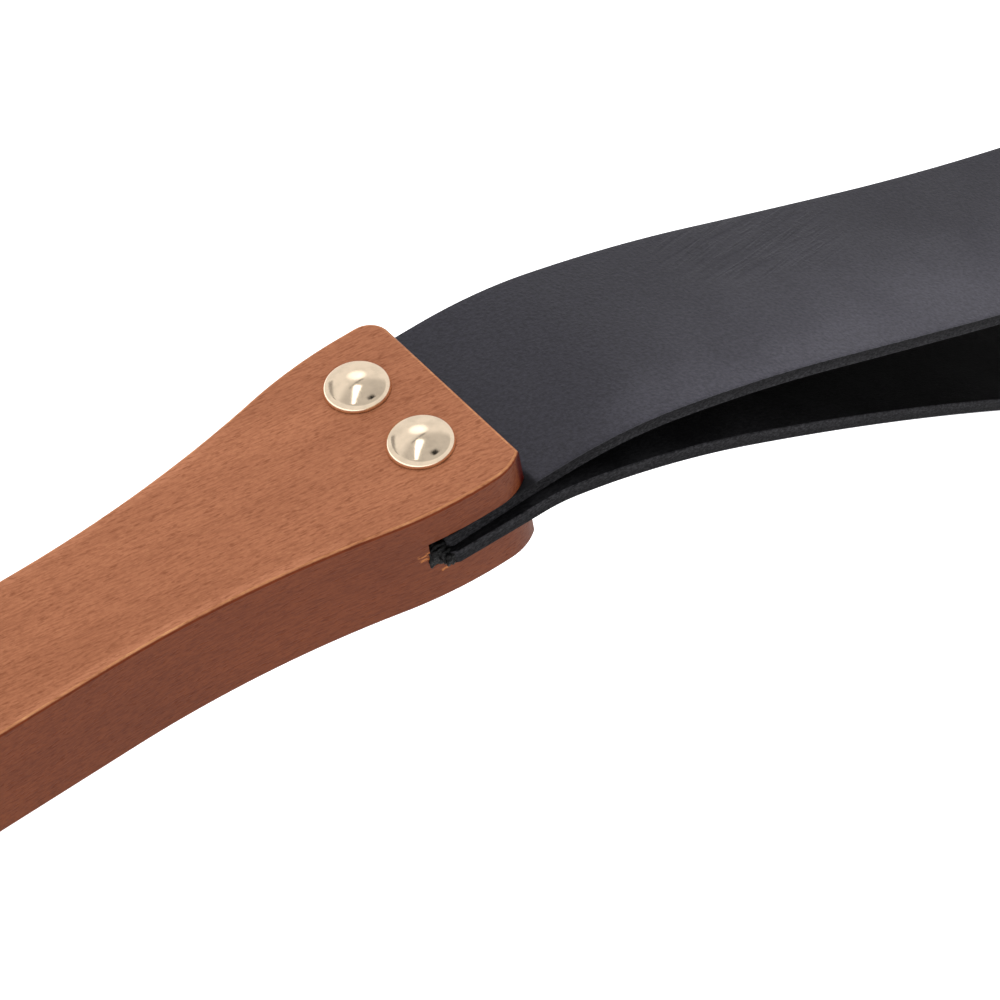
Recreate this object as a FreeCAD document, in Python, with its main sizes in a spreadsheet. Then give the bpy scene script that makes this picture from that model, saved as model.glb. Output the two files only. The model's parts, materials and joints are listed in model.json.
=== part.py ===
import FreeCAD, Part

import math
import os

import Sketcher

# A two-strap strop: a slotted wooden handle that grips two leather straps with two long cap rivets.
# Everything is drawn in the handle's own frame, in millimetres: x is 0 at the head's end face and
# positive along the straps, y is 0 on the handle's centre plane, z is 0 on the handle's underside.
# The finished pieces are then leaned back until the butt and the lower strap rest on the ground.

SIZES = [
    ("handle_length", 155, "head's end face to butt"),
    ("handle_thickness", 21.7, "top to underside"),
    ("end_slant", 3.6, "both ends are sawn this far out of square, degrees"),
    ("handle_edge_radius", 0.6, "rounding of the edges"),
    ("head_half_width", 22.4, "widest half width of the head"),
    ("far_corner_radius", 4.2, "head's far corner, seen from above"),
    ("far_corner_turn", 90, "angle of the far corner's curve, which runs smoothly into the end"),
    ("near_corner_radius", 10.5, "head's near corner, seen from above"),
    ("near_corner_turn", 40, "angle of the near corner's curve, which the sawn end cuts short"),
    ("shoulder_start", 7.9, "distance from the head's end where the sides turn in"),
    ("shoulder_radius", 83, "convex curve from head to neck"),
    ("neck_radius", 207, "concave curve from head to neck"),
    ("neck_half_width", 13.8, "narrowest half width"),
    ("neck_end", 100, "distance from the head's end where the grip starts to flare"),
    ("flare_radius", 600, "curve that starts the flare"),
    ("flare_angle", 2, "flare of each side of the grip, degrees"),
    ("butt_corner_radius", 8, "butt's two corners, seen from above"),
    ("slot_depth", 20.6, "saw slot's depth from the head's end"),
    ("slot_floor", 8.8, "height of the slot's lower face"),
    ("slot_overrun", 5, "how far the cut for the slot starts outside the head"),
    ("slot_height", 5.85, "opening of the slot"),
    ("strap_thickness", 2.85, "each strap"),
    ("strap_width", 44, "each strap"),
    ("strap_clamped", 17.5, "length of strap inside the slot"),
    ("lower_strap_shift", -2.2, "lower strap's sideways offset"),
    ("flex_gap", 0.15, "space between a strap's clamped end and its free length"),
    ("rivet_far_x", -12.2, "far rivet, along the handle"),
    ("rivet_far_y", 9.95, "far rivet, across the handle"),
    ("rivet_near_x", -11.4, "near rivet, along the handle"),
    ("rivet_near_y", -7.7, "near rivet, across the handle"),
    ("rivet_hole_radius", 2.5, "hole through wood and leather"),
    ("cap_radius", 6, "domed cap"),
    ("cap_height", 2.2, "domed cap"),
    ("cap_shoulder_radius", 1.4, "rounded shoulder of the cap"),
    ("cap_shoulder_height", 0.12, "centre of the shoulder above the wood"),
    ("cap_inner_radius", 5.2, "inside of the cap's wall"),
    ("cap_sheet", 0.45, "sheet thickness of the cap"),
    ("flange_radius", 4.9, "flange of post and socket, inside the caps"),
    ("flange_thickness", 0.6, "flange of post and socket"),
    ("post_radius", 1.6, "solid post"),
    ("post_tip_gap", 1.5, "post's tip to the far face of the wood"),
    ("socket_bore_radius", 1.65, "socket's bore"),
    ("socket_radius", 2.4, "socket's outside"),
    ("socket_tip_gap", 1.0, "socket's tip to the far face of the wood"),
    ("lean", 17, "angle of the handle to the ground, degrees"),
    ("landing_radius", 140, "lower strap's curve where it settles on the ground"),
    ("rest_length", 40, "flat end of the lower strap on the ground"),
]

# Each strap's middle line, from the slot's mouth on: the length of each stretch, and how many degrees
# it turns up. The first stretch ends at the line about which the free length flexes.
STRAP_BENDS = {
    "upper": [(8, -0.5), (24, -14.8), (40, -6.6), (40, 0.7), (60, 5), (60, -5)],
    "lower": [(8, -15), (12, -4.4), (30, -7.9), (150, -10)],
}

RIVETS = ("far", "near")

doc = FreeCAD.newDocument("strop")
sheet = doc.addObject("Spreadsheet::Sheet", "Sizes")
bend_sizes = []
for strap, bends in STRAP_BENDS.items():
    for number, (run, turn) in enumerate(bends, 1):
        bend_sizes.append((f"{strap}_run_{number}", run, "stretch of strap"))
        bend_sizes.append((f"{strap}_turn_{number}", turn, "degrees that the stretch turns up"))
for row, (alias, value, meaning) in enumerate(SIZES + bend_sizes, 1):
    sheet.set(f"A{row}", meaning)
    sheet.set(f"B{row}", str(value))
    sheet.setAlias(f"B{row}", alias)
doc.recompute()


def size(alias):
    """The number in the sheet's cell of that name."""
    return float(sheet.get(alias))


# ---------------------------------------------------------------- chains of tangent straights and arcs


class Stretch:
    """A straight or an arc: where it starts, its heading, its length and how far it turns left (radians)."""

    def __init__(self, start, heading, length, turn):
        self.start = start
        self.heading = heading
        self.length = length
        self.turn = turn

    def heading_at(self, share):
        return self.heading + self.turn * share

    def point_at(self, share, offset=0.0):
        """The point a share of the way along, moved to the left of the line by the offset."""
        x, y = self.start
        heading = self.heading_at(share)
        if self.turn:
            radius = self.length / self.turn
            x += radius * (math.sin(heading) - math.sin(self.heading))
            y += radius * (math.cos(self.heading) - math.cos(heading))
        else:
            x += self.length * share * math.cos(heading)
            y += self.length * share * math.sin(heading)
        return (x - offset * math.sin(heading), y + offset * math.cos(heading))

    def edge(self, offset=0.0, mirror=1):
        """The sketch geometry of this stretch, offset to the left; mirror -1 flips it across the first axis."""
        shares = (0, 0.5, 1) if self.turn else (0, 1)
        points = [self.point_at(share, offset) for share in shares]
        vectors = [FreeCAD.Vector(x, mirror * y, 0) for x, y in points]
        return Part.Arc(*vectors) if self.turn else Part.LineSegment(*vectors)


def chain(start, heading, steps):
    """The tangent stretches for a list of (length, turn in radians)."""
    stretches = []
    for length, turn in steps:
        stretches.append(Stretch(start, heading, length, turn))
        start = stretches[-1].point_at(1)
        heading = stretches[-1].heading_at(1)
    return stretches


def arc_step(radius, turn):
    """(length, turn) of an arc from its radius and its turn in radians."""
    return (radius * abs(turn), turn)


def line(first, second):
    return Part.LineSegment(FreeCAD.Vector(*first, 0), FreeCAD.Vector(*second, 0))


# ---------------------------------------------------------------- sketches and features


def new_body(label):
    body = doc.addObject("PartDesign::Body", label)
    body.Label = label
    return body


def new_sketch(body, name, role):
    """An empty sketch on one of the body's own origin planes."""
    plane = next(item for item in body.Origin.OriginFeatures if item.Role == role)
    sketch = body.newObject("Sketcher::SketchObject", f"{body.Name}_{name}")
    sketch.AttachmentSupport = [(plane, "")]
    sketch.MapMode = "FlatFace"
    return sketch


def bind(sketch, kind, first, second, expression):
    """A distance from one (geometry, point) to another, bound to an expression on the sheet."""
    start = sketch.getPoint(*first)
    end = sketch.getPoint(*second)
    along = end.x - start.x if kind == "DistanceX" else end.y - start.y
    if along < 0:
        first, second, expression = second, first, f"-({expression})"
    number = sketch.addConstraint(Sketcher.Constraint(kind, *first, *second, abs(along)))
    sketch.setExpression(f"Constraints[{number}]", expression)


ORIGIN = (-1, 1)


def draw_circle(sketch, centre, centre_names, radius_name):
    """A circle whose centre and radius are bound to the sheet."""
    circle = Part.Circle(FreeCAD.Vector(*centre, 0), FreeCAD.Vector(0, 0, 1), size(radius_name))
    index = sketch.addGeometry(circle)
    radius = sketch.addConstraint(Sketcher.Constraint("Radius", index, size(radius_name)))
    sketch.setExpression(f"Constraints[{radius}]", f"Sizes.{radius_name}")
    bind(sketch, "DistanceX", ORIGIN, (index, 3), centre_names[0])
    bind(sketch, "DistanceY", ORIGIN, (index, 3), centre_names[1])


def add_pad(body, sketch, expression, side):
    pad = body.newObject("PartDesign::Pad", f"{body.Name}_pad")
    pad.Profile = sketch
    pad.SideType = side
    pad.setExpression("Length", expression)
    return pad


def add_pocket(body, sketch, name):
    """A pocket through everything, both ways from its sketch, which must really cut."""
    doc.recompute()
    before = body.Shape.Volume
    pocket = body.newObject("PartDesign::Pocket", f"{body.Name}_{name}")
    pocket.Profile = sketch
    pocket.SideType = "Symmetric"
    pocket.Type = "ThroughAll"
    doc.recompute()
    if body.Shape.Volume >= before:
        raise RuntimeError(f"{pocket.Name} cuts nothing")
    return pocket


def add_revolution(body, outline):
    """A full turn of an outline of (radius, height) geometry about the body's own z axis."""
    sketch = new_sketch(body, "section", "XZ_Plane")
    for geometry in outline:
        sketch.addGeometry(geometry)
    revolution = body.newObject("PartDesign::Revolution", f"{body.Name}_turned")
    revolution.Profile = sketch
    revolution.ReferenceAxis = (sketch, ["V_Axis"])
    revolution.Angle = 360


def drill_rivet_holes(body, shift_name=None):
    """Both rivet holes, in a body whose middle may be shifted sideways."""
    sketch = new_sketch(body, "rivet_holes", "XY_Plane")
    for rivet in RIVETS:
        centre = (size(f"rivet_{rivet}_x"), size(f"rivet_{rivet}_y"))
        names = [f"Sizes.rivet_{rivet}_x", f"Sizes.rivet_{rivet}_y"]
        if shift_name:
            centre = (centre[0], centre[1] - size(shift_name))
            names[1] += f" - Sizes.{shift_name}"
        draw_circle(sketch, centre, names, "rivet_hole_radius")
    add_pocket(body, sketch, "rivet_pocket")


# ---------------------------------------------------------------- the handle


def slant_at(height):
    """How far the sawn ends stand towards the straps at that height, compared with the top face."""
    return (size("handle_thickness") - height) * math.tan(math.radians(size("end_slant")))


def handle_side(side):
    """The far or near side of the underside's outline, from the head's end face round to the butt's."""
    corner, turn = size(f"{side}_corner_radius"), math.radians(size(f"{side}_corner_turn"))
    corner_width = corner * (1 - math.cos(turn))
    shoulder, neck = size("shoulder_radius"), size("neck_radius")
    narrowing = size("head_half_width") - size("neck_half_width")
    sweep = math.acos(1 - narrowing / (shoulder + neck))
    flare = math.radians(size("flare_angle"))
    neck_start = size("shoulder_start") + (shoulder + neck) * math.sin(sweep)
    flared = size("neck_end") + size("flare_radius") * math.sin(flare)
    butt = size("butt_corner_radius")
    grip_end = (size("handle_length") - flared - butt * (1 + math.sin(flare))) / math.cos(flare)
    steps = [
        arc_step(corner, turn),
        (size("shoulder_start") - corner * math.sin(turn), 0),
        arc_step(shoulder, sweep),
        arc_step(neck, -sweep),
        (size("neck_end") - neck_start, 0),
        arc_step(size("flare_radius"), -flare),
        (grip_end, 0),
        arc_step(butt, math.pi / 2 + flare),
    ]
    return chain((slant_at(0), size("head_half_width") - corner_width), math.pi - turn, steps)


def make_handle():
    body = new_body("wooden_handle")
    plan = new_sketch(body, "plan", "XY_Plane")
    far, near = handle_side("far"), handle_side("near")
    for stretch in far:
        plan.addGeometry(stretch.edge())
    for stretch in near:
        plan.addGeometry(stretch.edge(mirror=-1))
    ends = [(far[0].start, near[0].start), (far[-1].point_at(1), near[-1].point_at(1))]
    for (x, far_y), (_, near_y) in ends:
        plan.addGeometry(line((x, -near_y), (x, far_y)))
    pad = add_pad(body, plan, "Sizes.handle_thickness", "One side")
    pad.UseCustomVector = True
    pad.Direction = FreeCAD.Vector(-math.tan(math.radians(size("end_slant"))), 0, 1)
    pad.AlongSketchNormal = True
    doc.recompute()

    # the top's and underside's edges, and the upright edge where the sawn end meets the near corner
    radius = size("handle_edge_radius")
    rounded = []
    for number, edge in enumerate(pad.Shape.Edges, 1):
        box = edge.BoundBox
        flat = box.ZLength < radius
        near_corner = box.XMin > -radius and abs(box.YMin + near[0].start[1]) < radius / 10
        if flat or near_corner:
            rounded.append(f"Edge{number}")
    rounding = body.newObject("PartDesign::Fillet", "handle_rounding")
    rounding.Base = (pad, rounded)
    rounding.setExpression("Radius", "Sizes.handle_edge_radius")

    slot = new_sketch(body, "slot", "XZ_Plane")
    inner, floor = -size("slot_depth"), size("slot_floor")
    outer, top = size("slot_overrun"), floor + size("slot_height")
    corners = [(inner, floor), (outer, floor), (outer, top), (inner, top)]
    for number, corner in enumerate(corners):
        slot.addGeometry(line(corner, corners[(number + 1) % 4]))
    for number, direction in enumerate(("Horizontal", "Vertical", "Horizontal", "Vertical")):
        slot.addConstraint(Sketcher.Constraint("Coincident", number, 2, (number + 1) % 4, 1))
        slot.addConstraint(Sketcher.Constraint(direction, number))
    bind(slot, "DistanceX", ORIGIN, (0, 1), "-Sizes.slot_depth")
    bind(slot, "DistanceY", ORIGIN, (0, 1), "Sizes.slot_floor")
    bind(slot, "DistanceX", ORIGIN, (2, 1), "Sizes.slot_overrun")
    bind(slot, "DistanceY", (0, 1), (2, 1), "Sizes.slot_height")
    add_pocket(body, slot, "slot_pocket")
    drill_rivet_holes(body)
    return body


# ---------------------------------------------------------------- the straps


def strap_height(strap):
    """Height of a strap's middle inside the slot, where both straps lie with equal small clearances."""
    thickness = size("strap_thickness")
    clearance = (size("slot_height") - 2 * thickness) / 3
    lower = size("slot_floor") + clearance + thickness / 2
    return lower if strap == "lower" else lower + thickness + clearance


def strap_bends(strap):
    """The strap's stretches from the mouth of the slot, read back from the sheet."""
    steps = []
    for number in range(1, len(STRAP_BENDS[strap]) + 1):
        turn = math.radians(size(f"{strap}_turn_{number}"))
        steps.append((size(f"{strap}_run_{number}"), turn))
    return chain((0, strap_height(strap)), 0, steps)


def ground_height(point):
    """How far a point stands above the ground that the butt's lower edge rests on when the handle leans."""
    lean = math.radians(size("lean"))
    edge = size("handle_edge_radius")
    inward = edge / math.cos(math.radians(size("end_slant")))
    butt = (slant_at(edge) - size("handle_length") + inward, edge)
    rise = (point[0] - butt[0]) * math.sin(lean) + (point[1] - butt[1]) * math.cos(lean)
    return rise + edge


def lower_landing(last):
    """The lower strap's last steps: straight on down, a curve that levels out, and a flat end on the ground."""
    falling = -(last.heading_at(1) + math.radians(size("lean")))
    radius = size("landing_radius")
    curve_drop = radius * (1 - math.cos(falling))
    left = ground_height(last.point_at(1)) - size("strap_thickness") / 2 - curve_drop
    if left < 0:
        raise RuntimeError("the lower strap reaches the ground before its landing curve ends")
    return [(left / math.sin(falling), 0), arc_step(radius, falling), (size("rest_length"), 0)]


def free_lengths():
    """Each strap's stretches beyond its flex line. The upper strap ends straight, cut as long as the lower."""
    lower = strap_bends("lower")
    last = lower[-1]
    lower += chain(last.point_at(1), last.heading_at(1), lower_landing(last))
    upper = strap_bends("upper")
    last = upper[-1]
    left = sum(stretch.length for stretch in lower) - sum(stretch.length for stretch in upper)
    upper += chain(last.point_at(1), last.heading_at(1), [(left, 0)])
    return {"upper": upper[1:], "lower": lower[1:]}


def make_strap(strap, name, stretches, round_start):
    """A strap's solid between its two faces, with its first end square or half round."""
    body = new_body(f"{strap}_strap_{name}")
    profile = new_sketch(body, "profile", "XZ_Plane")
    half = size("strap_thickness") / 2
    for stretch in stretches:
        profile.addGeometry(stretch.edge(half))
        profile.addGeometry(stretch.edge(-half))
    first, last = stretches[0], stretches[-1]
    profile.addGeometry(line(last.point_at(1, half), last.point_at(1, -half)))
    if round_start:
        turned_back = Stretch(first.point_at(0, half), first.heading + math.pi, math.pi * half, math.pi)
        profile.addGeometry(turned_back.edge())
    else:
        profile.addGeometry(line(first.point_at(0, half), first.point_at(0, -half)))
    add_pad(body, profile, "Sizes.strap_width", "Symmetric")
    return body


def make_strap_root(strap):
    """The clamped end, with the short stretch that leaves the slot and stops just before the flex line."""
    mouth = strap_bends(strap)[0]
    share = 1 - (size("strap_thickness") / 2 + size("flex_gap")) / mouth.length
    start = (-size("strap_clamped"), strap_height(strap))
    steps = [(size("strap_clamped"), 0), (mouth.length * share, mouth.turn * share)]
    body = make_strap(strap, "root", chain(start, 0, steps), round_start=False)
    drill_rivet_holes(body, "lower_strap_shift" if strap == "lower" else None)
    return body


# ---------------------------------------------------------------- the rivets


def cap_outline():
    """Half section of a domed cap that stands on the wood: rounded shoulder outside, open underneath."""
    shoulder, shoulder_height = size("cap_shoulder_radius"), size("cap_shoulder_height")
    height, wall = size("cap_height"), size("cap_inner_radius")
    shoulder_centre = size("cap_radius") - shoulder
    # the dome's arc is tangent to the shoulder and reaches the cap's height on the axis
    drop = height - shoulder_height
    dome = (shoulder_centre**2 + drop**2 - shoulder**2) / (2 * (drop - shoulder))
    dome_centre = height - dome
    slope = math.asin(shoulder_centre / (dome - shoulder))
    inner = dome - size("cap_sheet")
    foot = shoulder_centre + math.sqrt(shoulder**2 - shoulder_height**2)

    def on_dome(radius, angle):
        return FreeCAD.Vector(radius * math.sin(angle), dome_centre + radius * math.cos(angle), 0)

    inner_slope = math.asin(wall / inner)
    top, top_inside = on_dome(dome, 0), on_dome(inner, 0)
    join, inner_join = on_dome(dome, slope), on_dome(inner, inner_slope)
    outermost = FreeCAD.Vector(size("cap_radius"), shoulder_height, 0)
    rim = FreeCAD.Vector(foot, 0, 0)
    wall_foot = FreeCAD.Vector(wall, 0, 0)
    return [
        Part.Arc(top, on_dome(dome, slope / 2), join),
        Part.Arc(join, outermost, rim),
        Part.LineSegment(rim, wall_foot),
        Part.LineSegment(wall_foot, inner_join),
        Part.Arc(inner_join, on_dome(inner, inner_slope / 2), top_inside),
        Part.LineSegment(top_inside, top),
    ]


def closed_outline(points):
    return [line(point, points[(number + 1) % len(points)]) for number, point in enumerate(points)]


def post_outline():
    """Half section of the solid post: a flange on the wood and a shank that goes down through it."""
    flange, thickness = size("flange_radius"), size("flange_thickness")
    shank, tip = size("post_radius"), size("post_tip_gap") - size("handle_thickness")
    return closed_outline([(0, thickness), (flange, thickness), (flange, 0), (shank, 0), (shank, tip), (0, tip)])


def socket_outline():
    """Half section of the tubular socket: a flange on the wood and a tube that takes the post."""
    flange, thickness = size("flange_radius"), size("flange_thickness")
    tube, bore = size("socket_radius"), size("socket_bore_radius")
    tip = size("socket_tip_gap") - size("handle_thickness")
    return closed_outline(
        [(bore, thickness), (flange, thickness), (flange, 0), (tube, 0), (tube, tip), (bore, tip)]
    )


def make_rivet(rivet):
    """The four pieces of one rivet, as (body, place in the handle's frame)."""
    upright = FreeCAD.Rotation()
    upside_down = FreeCAD.Rotation(FreeCAD.Vector(1, 0, 0), 180)
    top, underside = size("handle_thickness"), 0
    kinds = [
        ("top_cap", cap_outline, top, upright),
        ("post", post_outline, top, upright),
        ("socket", socket_outline, underside, upside_down),
        ("bottom_cap", cap_outline, underside, upside_down),
    ]
    pieces = []
    for name, outline, height, rotation in kinds:
        body = new_body(f"{rivet}_rivet_{name}")
        add_revolution(body, outline())
        place = FreeCAD.Vector(size(f"rivet_{rivet}_x"), size(f"rivet_{rivet}_y"), height)
        pieces.append((body, FreeCAD.Placement(place, rotation)))
    return pieces


# ---------------------------------------------------------------- the whole strop


lengths = free_lengths()
middle = FreeCAD.Placement()
strap_places = {
    "upper": middle,
    "lower": FreeCAD.Placement(FreeCAD.Vector(0, size("lower_strap_shift"), 0), FreeCAD.Rotation()),
}
placed = [(make_handle(), middle)]
for strap, place in strap_places.items():
    placed.append((make_strap_root(strap), place))
    placed.append((make_strap(strap, "blade", lengths[strap], round_start=True), place))
for rivet in RIVETS:
    placed += make_rivet(rivet)
doc.recompute()

# Lean everything back about the y axis, stand it on the ground, and centre it along its length.
leaned = FreeCAD.Rotation(FreeCAD.Vector(0, 1, 0), -size("lean"))
stand = FreeCAD.Placement(FreeCAD.Vector(0, 0, ground_height((0, 0))), leaned)
for body, place in placed:
    body.Placement = stand.multiply(place)
doc.recompute()
boxes = [body.Shape.optimalBoundingBox(False, False) for body, place in placed]
middle_x = (min(box.XMin for box in boxes) + max(box.XMax for box in boxes)) / 2
stand.Base.x -= middle_x
for body, place in placed:
    body.Placement = stand.multiply(place)
doc.recompute()

for item in doc.Objects:
    if "Invalid" in item.State or "Error" in item.State:
        raise RuntimeError(f"{item.Name} failed: {item.State}")
for body, place in placed:
    if body.Shape.isNull() or not body.Shape.isValid() or len(body.Shape.Solids) != 1:
        raise RuntimeError(f"{body.Label} is not one valid solid")

os.makedirs("parts", exist_ok=True)
for body, place in placed:
    body.Shape.exportStep(f"parts/{body.Label}.step")
    box = body.Shape.optimalBoundingBox(False, False)
    low = (round(box.XMin, 2), round(box.YMin, 2), round(box.ZMin, 2))
    high = (round(box.XMax, 2), round(box.YMax, 2), round(box.ZMax, 2))
    print(f"{body.Label}: volume {body.Shape.Volume:.1f}, from {low} to {high}")


def report_point(name, x, y, z):
    point = stand.multVec(FreeCAD.Vector(x, y, z))
    print(f"{name}: {point.x:.4f} {point.y:.4f} {point.z:.4f}")


report_point("head end, underside", 0, 0, 0)
report_point("grip middle", -size("neck_end"), 0, size("handle_thickness") / 2)
for strap, stretches in lengths.items():
    start, end = stretches[0].start, stretches[-1].point_at(1, -size("strap_thickness") / 2)
    shift = strap_places[strap].Base.y
    report_point(f"{strap} flex line", start[0], shift, start[1])
    report_point(f"{strap} end, lower face", end[0], shift, end[1])
    cut = size("strap_clamped") + size(f"{strap}_run_1") + sum(item.length for item in stretches)
    print(f"{strap} strap cut length: {cut:.2f}")
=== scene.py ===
"""Looks of the two-strap strop: a stained wooden handle, two black leather straps and their cap rivets.

Lengths are in millimetres in the handle's own frame (x along the handle, 0 at the head's end face and
positive along the straps; y across; z up from the handle's underside) until place() puts them in the
model's frame in metres.
"""

import json
import math

import bpy
from mathutils import Matrix, Vector, noise


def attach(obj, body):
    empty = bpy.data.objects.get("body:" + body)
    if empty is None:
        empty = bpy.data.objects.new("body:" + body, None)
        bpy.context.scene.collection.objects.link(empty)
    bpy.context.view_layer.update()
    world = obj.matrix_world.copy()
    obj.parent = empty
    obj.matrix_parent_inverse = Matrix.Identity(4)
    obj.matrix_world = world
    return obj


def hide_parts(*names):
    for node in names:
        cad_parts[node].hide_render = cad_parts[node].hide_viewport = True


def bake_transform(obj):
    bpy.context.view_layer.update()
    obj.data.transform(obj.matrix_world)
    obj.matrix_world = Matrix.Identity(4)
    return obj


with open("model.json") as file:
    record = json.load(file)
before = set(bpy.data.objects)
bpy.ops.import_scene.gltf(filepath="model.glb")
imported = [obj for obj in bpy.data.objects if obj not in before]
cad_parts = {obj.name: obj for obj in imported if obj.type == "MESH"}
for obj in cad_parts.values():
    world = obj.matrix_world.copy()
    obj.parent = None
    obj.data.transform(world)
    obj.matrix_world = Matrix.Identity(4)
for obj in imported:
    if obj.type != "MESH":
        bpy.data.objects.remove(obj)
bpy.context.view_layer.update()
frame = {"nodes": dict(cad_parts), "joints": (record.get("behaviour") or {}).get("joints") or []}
joints = {joint["name"]: Vector(joint["pos_m"]) for joint in frame["joints"]}

MM = 0.001
TINY = 1e-9

# ---------------------------------------------------------------- sizes

LEAN = math.radians(17)  # the handle's slope to the ground
HANDLE_THICKNESS = 21.7
NECK_HALF_WIDTH = 13.8
NECK_RADIUS = 207.0
WAIST = 78.0  # from the head's end to the narrowest place
GRIP_FLARE = 0.02  # how fast each side of the grip widens again
SLOT_DEPTH = 20.6
SLOT_FLOOR = 8.8
SLOT_HEIGHT = 5.85

STRAP_THICKNESS = 2.85
STRAP_WIDTH = 44.0
STRAP_CLAMPED = 17.5
LOWER_SHIFT = -2.2  # the lower strap's sideways offset outside the slot
LOWER_INNER_SHIFT = -1.6  # and at its inner end, because it lies a little askew in the slot
UPPER_INNER_SHIFT = -0.25  # the upper strap's inner end, which stands flush with the side
LANDING_RADIUS = 140.0
REST_LENGTH = 40.0
EDGE_ROUNDING = 0.22  # worn edges of the leather
TWIST = 0.043 / 100  # sideways slope that the upper strap gains per millimetre
RING_SPACING = 1.25  # between the rings of points along a strap

# Each strap's middle line, from the slot's mouth on: the length of each stretch, and how many degrees
# it turns up. The first stretch ends at the line about which the free length flexes.
STRAP_BENDS = {
    "upper": [(8, -0.5), (24, -14.8), (40, -6.6), (40, 0.7), (60, 5), (60, -5)],
    "lower": [(8, -15), (12, -4.4), (30, -7.9), (150, -10)],
}
STRAP_GAP = (SLOT_HEIGHT - 2 * STRAP_THICKNESS) / 3
STRAP_HEIGHTS = {
    "lower": SLOT_FLOOR + STRAP_GAP + STRAP_THICKNESS / 2,
    "upper": SLOT_FLOOR + 2 * STRAP_GAP + STRAP_THICKNESS * 1.5,
}

RIVETS = {"far": (-12.2, 9.95), "near": (-11.4, -7.7)}
CAP_RADIUS = 6.0
CAP_HEIGHT = 2.2
CAP_SHOULDER = 1.4  # radius of the rounded shoulder between dome and wall
CAP_SHOULDER_HEIGHT = 0.12
CAP_INSIDE = [
    # distance in from the cap's edge and height of each point, from the foot up into the hollow
    (0.12, 0.01),
    (0.5, 0.01),
    (0.8, 0.7),
    (CAP_RADIUS, CAP_HEIGHT - 0.5),
]


# ---------------------------------------------------------------- the handle's frame in the model's frame


def walk(start, heading, steps, spacing):
    """Points along tangent straights and arcs in the (x, z) plane, as (distance, x, z, heading)."""
    x, z = start
    travelled = 0.0
    stations = [(travelled, x, z, heading)]
    for length, turn in steps:
        count = max(1, round(length / spacing))
        for number in range(1, count + 1):
            share = number / count
            new_heading = heading + turn * share
            if abs(turn) > TINY:
                radius = length / turn
                point_x = x + radius * (math.sin(new_heading) - math.sin(heading))
                point_z = z + radius * (math.cos(heading) - math.cos(new_heading))
            else:
                point_x = x + length * share * math.cos(heading)
                point_z = z + length * share * math.sin(heading)
            stations.append((travelled + length * share, point_x, point_z, new_heading))
        travelled += length
        _, x, z, heading = stations[-1]
    return stations


def bends(strap):
    return [(length, math.radians(turn)) for length, turn in STRAP_BENDS[strap]]


LEAN_BACK = Matrix.Rotation(-LEAN, 3, "Y")
flex_station = walk((0, STRAP_HEIGHTS["upper"]), 0, bends("upper")[:1], RING_SPACING)[-1]
flex_point = Vector((flex_station[1], 0, flex_station[2])) * MM
HANDLE_ORIGIN = joints["upper_strap_flex"] - LEAN_BACK @ flex_point


def place(x, y, z):
    """A point of the handle's frame, in the model's frame."""
    return HANDLE_ORIGIN + LEAN_BACK @ (Vector((x, y, z)) * MM)


# ---------------------------------------------------------------- mesh helpers


def new_piece(name, points, faces, material, smooth=True):
    mesh = bpy.data.meshes.new(name)
    mesh.from_pydata(points, [], faces)
    mesh.validate()
    if smooth:
        mesh.shade_smooth()
    mesh.materials.append(material)
    piece = bpy.data.objects.new(name, mesh)
    bpy.context.scene.collection.objects.link(piece)
    return piece


# ---------------------------------------------------------------- node helpers


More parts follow.
